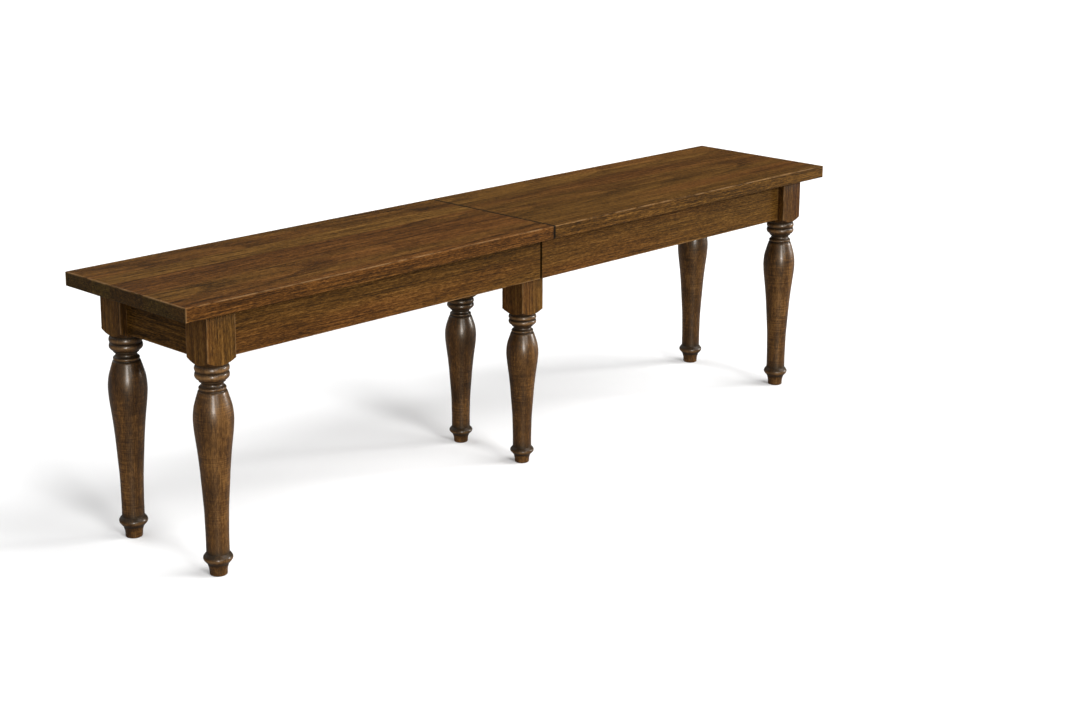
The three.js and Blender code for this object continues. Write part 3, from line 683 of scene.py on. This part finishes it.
def revolve(name, node, body, rows, sides, place, closed=False):
    """A turned piece in millimetres. A row is a height and a radius, or a height and a radius for each angle."""
    angles = [2 * math.pi * i / sides for i in range(sides)]
    verts = []
    for z, radius in rows:
        for index, angle in enumerate(angles):
            r = radius(angle, index) if callable(radius) else radius
            verts.append(place @ Vector((r * math.cos(angle) * MM, r * math.sin(angle) * MM, z * MM)))
    faces = []
    last = len(rows) if closed else len(rows) - 1
    for k in range(last):
        low, high = k * sides, (k + 1) % len(rows) * sides
        for i in range(sides):
            j = (i + 1) % sides
            faces.append((low + i, low + j, high + j, high + i))
    if not closed:
        faces.append(tuple(reversed(range(sides))))
        faces.append(tuple(range(last * sides, last * sides + sides)))
    mesh = smooth_mesh(name, verts, faces, BOLT_CREASE)
    mesh.materials.append(zinc)
    piece = in_scene(name, mesh)
    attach(piece, body)
    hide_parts(node)


def knurl(angle, index):
    return KNURL[index % 2]


def socket_rim(angle, index):
    return hexagon(angle, SOCKET_RIM)


def socket_side(angle, index):
    return hexagon(angle, SOCKET)


def cap_screw(name, node, y, tip, seat, top):
    """A cap screw: knurled round head with a hexagon socket."""
    rows = [(tip, SHANK_TIP), (tip + 0.7, SHANK), (seat, SHANK), (seat, HEAD), (seat + 0.5, knurl),
            (top - 0.9, knurl), (top - 0.25, HEAD), (top, HEAD_RIM), (top, socket_rim), (top - 0.4, socket_side),
            (top - SOCKET_DEPTH, socket_side), (top - SOCKET_DEPTH - 0.3, 0.4)]
    revolve(name, node, "centre_stand", rows, KNURL_COLUMNS, Matrix.Translation((0, y * MM, 0)))


def threaded_rod(name, node, body, place, start, thread_start, end):
    """A stud whose far end carries a screw thread."""
    rows = [(start, 3.2), (start + 0.8, SHANK), (thread_start, SHANK)]
    steps = int((end - thread_start - 0.8) / THREAD_PITCH * THREAD_STEPS)
    for step in range(1, steps + 1):
        z = thread_start + step * THREAD_PITCH / THREAD_STEPS

        def thread(angle, index, turns=step / THREAD_STEPS):
            share = (turns - angle / (2 * math.pi)) % 1
            return THREAD_ROOT + THREAD_DEPTH * (1 - abs(2 * share - 1)) ** 0.8
        rows.append((z, thread))
    rows += [(end - 0.5, 3.5), (end, 3.0)]
    revolve(name, node, body, rows, STUD_COLUMNS, place)


def nut_side(limit):
    """The sides of a nut, cut back to a cone where they reach past limit."""
    return lambda angle, index: min(hexagon(angle, NUT_CORNER), limit)


def hexagon_nut(name, node, body, place, low, high):
    """A nut with both rims chamfered."""
    rows = [(low + 0.5, NUT_BORE), (low, NUT_BORE_RIM), (low, NUT_FACE), (low + 0.35, nut_side(NUT_CHAMFER)),
            (low + 0.8, nut_side(NUT_CORNER)), (high - 0.8, nut_side(NUT_CORNER)),
            (high - 0.35, nut_side(NUT_CHAMFER)), (high, NUT_FACE), (high, NUT_BORE_RIM), (high - 0.5, NUT_BORE)]
    revolve(name, node, body, rows, NUT_COLUMNS, place, closed=True)


for screw in CAP_SCREWS:
    cap_screw(*screw)
for half, sign_x in (("left", -1), ("right", 1)):
    for side, sign_y in (("front", -1), ("back", 1)):
        inward = Vector((-sign_x, -sign_y, 0)).normalized()
        corner = Vector((sign_x * (LEG_X - BLOCK_HALF), sign_y * (LEG_Y - BLOCK_HALF), HANGER_Z)) * MM
        upright_to_inward = Vector((0, 0, 1)).rotation_difference(inward).to_matrix().to_4x4()
        diagonal = Matrix.Translation(corner) @ upright_to_inward
        threaded_rod(f"{half}_hanger_stud_{side}", f"{half}_hanger_bolt_{side}", half + "_half", diagonal, *STUD)
        hexagon_nut(f"{half}_hexagon_nut_{side}", f"{half}_nut_{side}", half + "_half", diagonal, *NUT)

# Stained boards
for index, (board, bands) in enumerate(STAVES.items()):
    paint(board, stained_oak("oak_" + board, "X", 1.3 + index * 5.5, board_limits(board, True), bands=bands,
                             tilt=0.017, seam=True))
for index, board in enumerate(["left_apron_front", "right_apron_front", "left_apron_back", "right_apron_back"]):
    tone, warmth = APRONS[board.split("_")[0]]
    paint(board, stained_oak("oak_" + board, "X", 11.0 + index * 2.3, board_limits(board), tone, heart=0.33,
                             offset=-0.09 + 0.005 * index, warmth=warmth, contrast=0.85))
# End aprons painted darker and more olive, as the shade under the slab's overhang
for index, board in enumerate(["left_apron_end", "right_apron_end"]):
    paint(board, stained_oak("oak_" + board, "Y", 21.0 + index * 2.3, board_limits(board), -0.09, warmth=0.25,
                             gloss=0.03))
paint("stretcher", stained_oak("oak_stretcher", "Y", 25.6, NO_EDGE_MARKS, -0.1))

# Slides and inner frame
for index, rail in enumerate(["left_rail_outer", "left_rail_inner", "right_rail_outer", "right_rail_inner",
                              "centre_rail_front", "centre_rail_back"]):
    paint(rail, plain_wood("maple_" + rail, "X", 31.0 + index * 1.7, MAPLE, 0.42))
for index, stick in enumerate(["left_cleat_front", "left_cleat_back", "right_cleat_front", "right_cleat_back"]):
    paint(stick, plain_wood("frame_" + stick, "X", 41.0 + index * 1.7, POPLAR, 0.55))
for index, (stick, turn) in enumerate([("left_cross_rail", 0), ("right_cross_rail", 0), ("bearer", 0),
                                       ("left_brace_front", 45), ("left_brace_back", -45),
                                       ("right_brace_front", -45), ("right_brace_back", 45)]):
    paint(stick, plain_wood("frame_" + stick, "Y", 51.0 + index * 1.7, POPLAR, 0.55, turn))

# Hardware
black = metal("dark_steel", BLACK_STEEL, 0.42, (300, 300, 80))
nylon = moulded("nylon", NYLON, 0.5)
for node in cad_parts:
    if "socket" in node or node == "axle_spacer":
        paint(node, zinc)
    if "align_pin" in node or "lock" in node or "keeper" in node:
        paint(node, black)
    if node == "pinion" or node.endswith("_rack"):
        paint(node, nylon)

# Floor: white where it is seen, dimmer in what it sheds on the bench
corners = [(x * FLOOR_REACH, y * FLOOR_REACH, 0) for x, y in ((-1, -1), (1, -1), (1, 1), (-1, 1))]
floor_mesh = bpy.data.meshes.new("floor")
floor_mesh.from_pydata(corners, [], [(0, 1, 2, 3)])
floor = in_scene("floor", floor_mesh)
pale = Graph("pale_floor")
floor_seen = pale.add("ShaderNodeLightPath").outputs["Is Camera Ray"]
floor_colour = pale.ramp(pale.noise(pale.place(), (3, 3, 3)), FLOOR_TONES)
floor_mesh.materials.append(pale.finish({
    "Base Color": pale.mix(floor_seen, (*[FLOOR_SHED] * 3, 1.0), floor_colour),
    "Roughness": 0.9, "Specular IOR Level": 0.0,
}))

# Lights
for name, heading, height, width, power, legs_only in LIGHTS:
    light = bpy.data.lights.new(name, "SUN")
    light.angle = math.radians(width)
    light.energy = power
    lamp = in_scene(name, light)
    flat, up = math.radians(heading), math.radians(height)
    towards = Vector((math.cos(flat) * math.cos(up), math.sin(flat) * math.cos(up), math.sin(up)))
    lamp.rotation_euler = towards.to_track_quat("Z", "Y").to_euler()
    if legs_only:
        lamp.visible_diffuse = False
        lamp.light_linking.receiver_collection = turned_legs

# The room, white where it is seen too
world = bpy.data.worlds.new("studio")
world.use_nodes = True
room = world.node_tree
room.nodes["Background"].inputs[0].default_value = (1.0, 1.0, 1.0, 1.0)
seen = room.nodes.new("ShaderNodeLightPath").outputs["Is Camera Ray"]
strength = room.nodes.new("ShaderNodeMapRange")
strength.inputs["To Min"].default_value = ROOM_LIGHT
strength.inputs["To Max"].default_value = 1.0
room.links.new(seen, strength.inputs["Value"])
room.links.new(strength.outputs[0], room.nodes["Background"].inputs[1])
bpy.context.scene.world = world
bpy.context.scene.view_settings.view_transform = "Standard"

# Camera
camera_data = bpy.data.cameras.new("camera")
camera_data.sensor_fit = "HORIZONTAL"
camera_data.sensor_width = SENSOR_WIDTH
camera_data.lens = SENSOR_WIDTH * FOCAL_SHARE
camera_data.shift_y = -SHIFT_DOWN
camera = in_scene("camera", camera_data)
turn = Matrix.Rotation(math.radians(-CAMERA_YAW), 4, "Z")
tip = Matrix.Rotation(math.radians(90 - CAMERA_PITCH), 4, "X")
lean = Matrix.Rotation(math.radians(CAMERA_ROLL), 4, "Z")
camera.matrix_world = Matrix.Translation(CAMERA_AT) @ turn @ tip @ lean
bpy.context.scene.camera = camera
